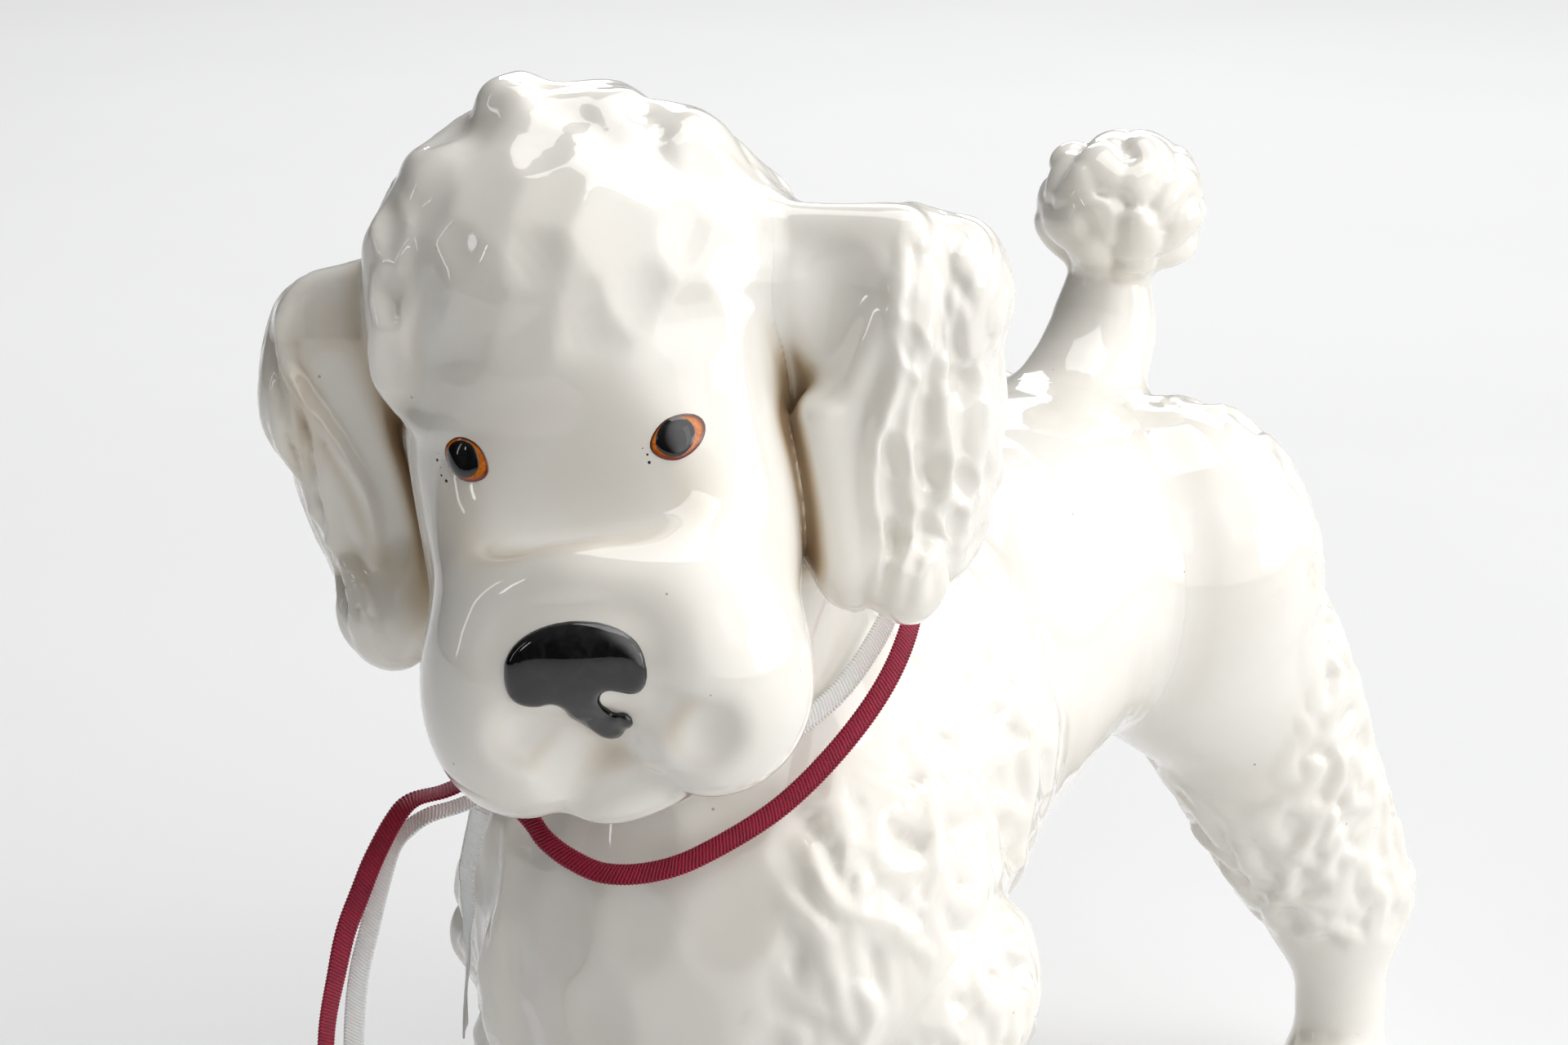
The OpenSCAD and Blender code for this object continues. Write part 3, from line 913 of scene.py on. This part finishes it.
class Nodes:
    """A short way to write a material's node tree."""

    def __init__(self, name):
        self.material = bpy.data.materials.new(name)
        self.material.use_nodes = True
        self.tree = self.material.node_tree
        self.tree.nodes.clear()
        self.shader = self.add("ShaderNodeBsdfPrincipled")
        output = self.add("ShaderNodeOutputMaterial")
        self.link(self.shader.outputs[0], output.inputs["Surface"])

    def add(self, kind, **settings):
        node = self.tree.nodes.new(kind)
        for key, value in settings.items():
            setattr(node, key, value)
        return node

    def link(self, source, target):
        self.tree.links.new(source, target)

    def put(self, node, socket, value):
        target = node.inputs[socket]
        if hasattr(value, "is_output"):
            self.link(value, target)
        else:
            target.default_value = value

    def math(self, operation, a, b=0.0, c=0.0, clamp=False):
        node = self.add("ShaderNodeMath", operation=operation, use_clamp=clamp)
        for k, value in enumerate((a, b, c)):
            self.put(node, k, value)
        return node.outputs[0]

    def mix(self, share, a, b):
        node = self.add("ShaderNodeMix", data_type="RGBA")
        for socket, value in ((0, share), (6, a), (7, b)):
            self.put(node, socket, value)
        return node.outputs[2]

    def spread(self, value, low, high, to_low=0.0, to_high=1.0):
        node = self.add("ShaderNodeMapRange", interpolation_type="SMOOTHSTEP")
        for socket, v in (("Value", value), ("From Min", low), ("From Max", high),
                          ("To Min", to_low), ("To Max", to_high)):
            self.put(node, socket, v)
        return node.outputs[0]

    def place(self):
        return self.add("ShaderNodeTexCoord").outputs["Object"]

    def attribute(self, name, output="Fac"):
        return self.add("ShaderNodeAttribute", attribute_name=name).outputs[output]

    def noise(self, vector, scale, detail=3.0, roughness=0.5, distortion=0.0):
        node = self.add("ShaderNodeTexNoise")
        for socket, v in (("Vector", vector), ("Scale", scale), ("Detail", detail),
                          ("Roughness", roughness), ("Distortion", distortion)):
            self.put(node, socket, v)
        return node.outputs["Fac"]

    def cells(self, vector, scale, feature="F1", output="Distance"):
        node = self.add("ShaderNodeTexVoronoi", feature=feature)
        self.put(node, "Vector", vector)
        self.put(node, "Scale", scale)
        return node.outputs[output]

    def bump(self, height, distance, strength=1.0, below=None):
        node = self.add("ShaderNodeBump")
        for socket, v in (("Height", height), ("Distance", distance), ("Strength", strength)):
            self.put(node, socket, v)
        if below is not None:
            self.link(below, node.inputs["Normal"])
        return node.outputs[0]

    def finish(self, **sockets):
        for name, value in sockets.items():
            self.put(self.shader, name.replace("_", " "), value)
        return self.material


def colour(r, g, b):
    return (r, g, b, 1.0)


def glaze_material():
    """White tin-type glaze: clear and wet, with ash specks and pinholes; cream, then brown, where it pools
    and where a point is closed in, which partly paints shade into folds and creases.
    """
    m = Nodes("glaze")
    place = m.place()
    cloud = m.noise(place, 38, 4, 0.55)
    pooled_glaze_and_shade = m.math("ADD", m.attribute("pooled_glaze_and_shade"), m.math("MULTIPLY", m.math("SUBTRACT", cloud, 0.5), 0.3))
    body = m.mix(m.spread(cloud, 0.35, 0.7), colour(0.84, 0.81, 0.745), colour(0.88, 0.855, 0.80))
    # cream, then brown, as the pooled value rises: glaze pooling, and painted shade in folds and creases
    cream_pool_and_shade = m.mix(m.spread(pooled_glaze_and_shade, 0.12, 0.6), body, colour(0.60, 0.50, 0.36))
    brown_pool_and_shade = m.mix(m.spread(pooled_glaze_and_shade, 0.42, 0.85), cream_pool_and_shade, colour(0.34, 0.235, 0.14))
    stain = m.math("MULTIPLY", m.spread(m.noise(place, 95, 3, 0.6), 0.62, 0.8),
                   m.spread(m.noise(place, 16, 2), 0.5, 0.68))
    stained = m.mix(m.math("MULTIPLY", stain, 0.45), brown_pool_and_shade, colour(0.55, 0.40, 0.20))
    speck = m.math("LESS_THAN", m.cells(place, 210), 0.045)
    rare = m.math("GREATER_THAN", m.cells(place, 210, output="Color"), 0.72)
    fleck = m.math("MULTIPLY", m.math("MULTIPLY", speck, rare), 0.6)
    flecked = m.mix(fleck, stained, colour(0.24, 0.17, 0.10))
    rough = m.spread(m.noise(place, 120, 3), 0.3, 0.7, 0.035, 0.075)
    peel = m.noise(place, 260, 2, 0.4)
    wave = m.noise(place, 90, 2, 0.4)
    surface = m.bump(peel, 0.00003, 0.6, m.bump(wave, 0.00012, 0.7))
    return m.finish(Base_Color=flecked, Roughness=rough, Normal=surface, IOR=1.52, Specular_IOR_Level=0.5,
                    Subsurface_Weight=0.12, Subsurface_Scale=0.0012,
                    Subsurface_Radius=(1.0, 0.85, 0.65), Coat_Weight=0.6, Coat_Roughness=0.02, Coat_IOR=1.5)


def black_enamel_material():
    """Glossy black enamel, brushed on, a little grey where it thins at the rim."""
    m = Nodes("black_enamel")
    place = m.place()
    streak = m.noise(place, 420, 4, 0.6, 0.6)
    thin = m.spread(m.attribute("rim"), 0.86, 1.0)
    base = m.mix(m.spread(streak, 0.4, 0.75), colour(0.006, 0.006, 0.007), colour(0.02, 0.02, 0.021))
    worn = m.mix(m.math("MULTIPLY", thin, 0.55), base, colour(0.10, 0.085, 0.07))
    rough = m.spread(streak, 0.3, 0.8, 0.04, 0.12)
    return m.finish(Base_Color=worn, Roughness=rough, Normal=m.bump(streak, 0.00004, 0.5), IOR=1.5,
                    Coat_Weight=0.7, Coat_Roughness=0.03)


def amber_enamel_material():
    """Orange-brown enamel: brighter outside, burnt at its edges, with a dark red lower line."""
    m = Nodes("amber_enamel")
    rim, low = m.attribute("rim"), m.attribute("low")
    streak = m.noise(m.place(), 900, 4, 0.65, 1.2)
    base = m.mix(m.spread(streak, 0.35, 0.7), colour(0.50, 0.11, 0.012), colour(0.74, 0.22, 0.025))
    burnt = m.mix(m.math("MULTIPLY", m.spread(rim, 0.74, 0.90), 0.95), base, colour(0.055, 0.012, 0.008))
    lower = m.mix(m.math("MULTIPLY", m.spread(low, 0.25, 0.8), m.spread(rim, 0.6, 0.9)), burnt,
                  colour(0.16, 0.012, 0.012))
    return m.finish(Base_Color=lower, Roughness=0.09, IOR=1.5, Coat_Weight=0.6, Coat_Roughness=0.03,
                    Normal=m.bump(streak, 0.00003, 0.5))


def satin_material(name, thread, painted_weave_shade, sheen):
    """Woven satin: fine diagonal floats across the band and tight loops along each selvedge, with painted
    shade in the weave's low parts.
    """
    m = Nodes(name)
    weave = m.add("ShaderNodeSeparateXYZ")
    m.link(m.attribute("weave", "Vector"), weave.inputs[0])
    run, across = weave.outputs[0], weave.outputs[1]
    slant = m.math("ADD", m.math("MULTIPLY", run, 12.0), m.math("MULTIPLY", across, 8.0))
    jitter = m.noise(m.attribute("weave", "Vector"), 2.2, 3, 0.6)
    twill = m.math("SINE", m.math("ADD", slant, m.math("MULTIPLY", jitter, 5.0)))
    rib = m.math("SINE", m.math("ADD", m.math("MULTIPLY", run, 24.0), m.math("MULTIPLY", across, -9.0)))
    cloth = m.math("ADD", m.math("MULTIPLY", twill, 0.5), m.math("MULTIPLY", rib, 0.22))
    edge = m.spread(m.math("ABSOLUTE", across), 0.72, 0.8)
    loops = m.math("SINE", m.math("MULTIPLY", run, 2 * math.pi / PICOT))
    height = m.math("ADD", m.math("MULTIPLY", cloth, m.math("SUBTRACT", 1.0, edge)),
                    m.math("MULTIPLY", loops, edge))
    # painted shade: the weave's low parts take the darker shade colour, its raised parts the thread colour
    painted_lit_share = m.math("MULTIPLY_ADD", height, 0.7, 0.5, clamp=True)
    base = m.mix(painted_lit_share, painted_weave_shade, thread)
    patchy = m.spread(m.noise(m.attribute("weave", "Vector"), 0.5, 2), 0.4, 0.7)
    mottled = m.mix(m.math("MULTIPLY", patchy, 0.25), base, painted_weave_shade)
    return m.finish(Base_Color=mottled, Roughness=0.32, Normal=m.bump(height, 0.00009, 0.9),
                    Anisotropic=0.35, Sheen_Weight=0.55, Sheen_Roughness=0.3, Sheen_Tint=sheen,
                    Specular_IOR_Level=0.9, Specular_Tint=sheen,
                    Subsurface_Weight=0.2, Subsurface_Scale=0.0012)

# ---- Floor and light ----

FLOOR_HALF = 6.0
LIGHTS_AIM_AT = Vector((0.0, -0.02, 0.11))
ROOM = 0.01
SKY = [  # where the light comes from, the turn from there at which it ends and is full, its strength
    ((0, 0, 1), 0.25, 0.85, 0.1),
    ((0.90, 0.20, 0.39), 0.35, 0.85, 1.72),
    ((0, 1, 0), 0.2, 0.8, 0.3)]


def add_floor():
    m = Nodes("studio_floor")
    grain = m.noise(m.place(), 4, 3)
    pale = m.mix(m.spread(grain, 0.3, 0.7), colour(0.735, 0.74, 0.75), colour(0.755, 0.76, 0.77))
    material = m.finish(Base_Color=pale, Roughness=0.7)
    corners = [(x * FLOOR_HALF, y * FLOOR_HALF, 0) for x, y in ((-1, -1), (1, -1), (1, 1), (-1, 1))]
    mesh = bpy.data.meshes.new("floor")
    mesh.from_pydata(corners, [], [(0, 1, 2, 3)])
    mesh.materials.append(material)
    floor = bpy.data.objects.new("floor", mesh)
    bpy.context.scene.collection.objects.link(floor)


def softbox(name, at, size, power, tint=(1, 1, 1)):
    """A rectangular softbox that faces the figure."""
    data = bpy.data.lights.new(name, "AREA")
    data.shape = "RECTANGLE"
    data.size, data.size_y = size
    data.energy = power
    data.color = tint
    light = bpy.data.objects.new(name, data)
    light.location = at
    light.rotation_euler = (LIGHTS_AIM_AT - Vector(at)).to_track_quat("-Z", "Y").to_euler()
    bpy.context.scene.collection.objects.link(light)


def add_light():
    softbox("key", (1.0, -0.10, 0.70), (0.36, 0.55), 0.4, (1.0, 0.995, 0.985))
    softbox("window", (1.1, 0.35, 0.35), (0.4, 0.4), 1.0)
    softbox("top", (0.10, 0.20, 1.25), (0.9, 0.8), 5.4)
    softbox("left_strip", (-0.80, -0.75, 0.50), (0.05, 0.5), 0.25, (0.98, 0.99, 1.0))
    softbox("left_window", (-0.55, -0.95, 0.60), (0.05, 0.22), 0.18, (0.98, 0.99, 1.0))
    softbox("back", (-0.45, 1.25, 0.9), (1.2, 0.7), 7.5)
    add_surroundings()
    bpy.context.scene.view_settings.view_transform = "Standard"


def add_surroundings():
    """A studio that is pale above, behind and to the right, and dim ahead of the figure."""
    world = bpy.data.worlds.new("studio")
    world.use_nodes = True
    tree = world.node_tree
    tree.nodes.clear()

    def node(kind, links=(), **values):
        made = tree.nodes.new("ShaderNode" + kind)
        for socket, value in values.items():
            made.inputs[socket.replace("_", " ")].default_value = value
        for socket, source in links:
            tree.links.new(source, made.inputs[socket])
        return made

    way = node("TexCoord").outputs["Generated"]
    strength = node("Value").outputs[0]
    strength.default_value = ROOM
    for at, ends, full, bright in SKY:
        dot = node("VectorMath", [(0, way)])
        dot.operation = "DOT_PRODUCT"
        dot.inputs[1].default_value = at
        share = node("MapRange", [("Value", dot.outputs["Value"])],
                     From_Min=ends, From_Max=full, To_Max=bright)
        share.interpolation_type = "SMOOTHSTEP"
        strength = node("Math", [(0, strength), (1, share.outputs[0])]).outputs[0]
    shown = node("Background", Color=colour(0.87, 0.87, 0.885), Strength=1.0)
    lighting = node("Background", [("Strength", strength)], Color=colour(0.965, 0.957, 0.945))
    seen = node("LightPath").outputs["Is Camera Ray"]
    blend = node("MixShader", [(0, seen), (1, lighting.outputs[0]), (2, shown.outputs[0])])
    node("OutputWorld", [("Surface", blend.outputs[0])])
    bpy.context.scene.world = world


# ---- The figurine ----

glaze = glaze_material()
black = black_enamel_material()
amber = amber_enamel_material()
# each satin gets its thread colour, a darker copy of it that paints shade into the weave, and a sheen tint
burgundy = satin_material("burgundy_satin", colour(0.38, 0.005, 0.03), colour(0.07, 0.001, 0.006),
                          colour(1.0, 0.35, 0.5))
white = satin_material("white_satin", colour(0.97, 0.97, 0.965), colour(0.86, 0.86, 0.86), colour(1, 1, 1))
add_ribbons(burgundy, white)
castings(glaze)
add_face(black, amber)
add_floor()
add_light()
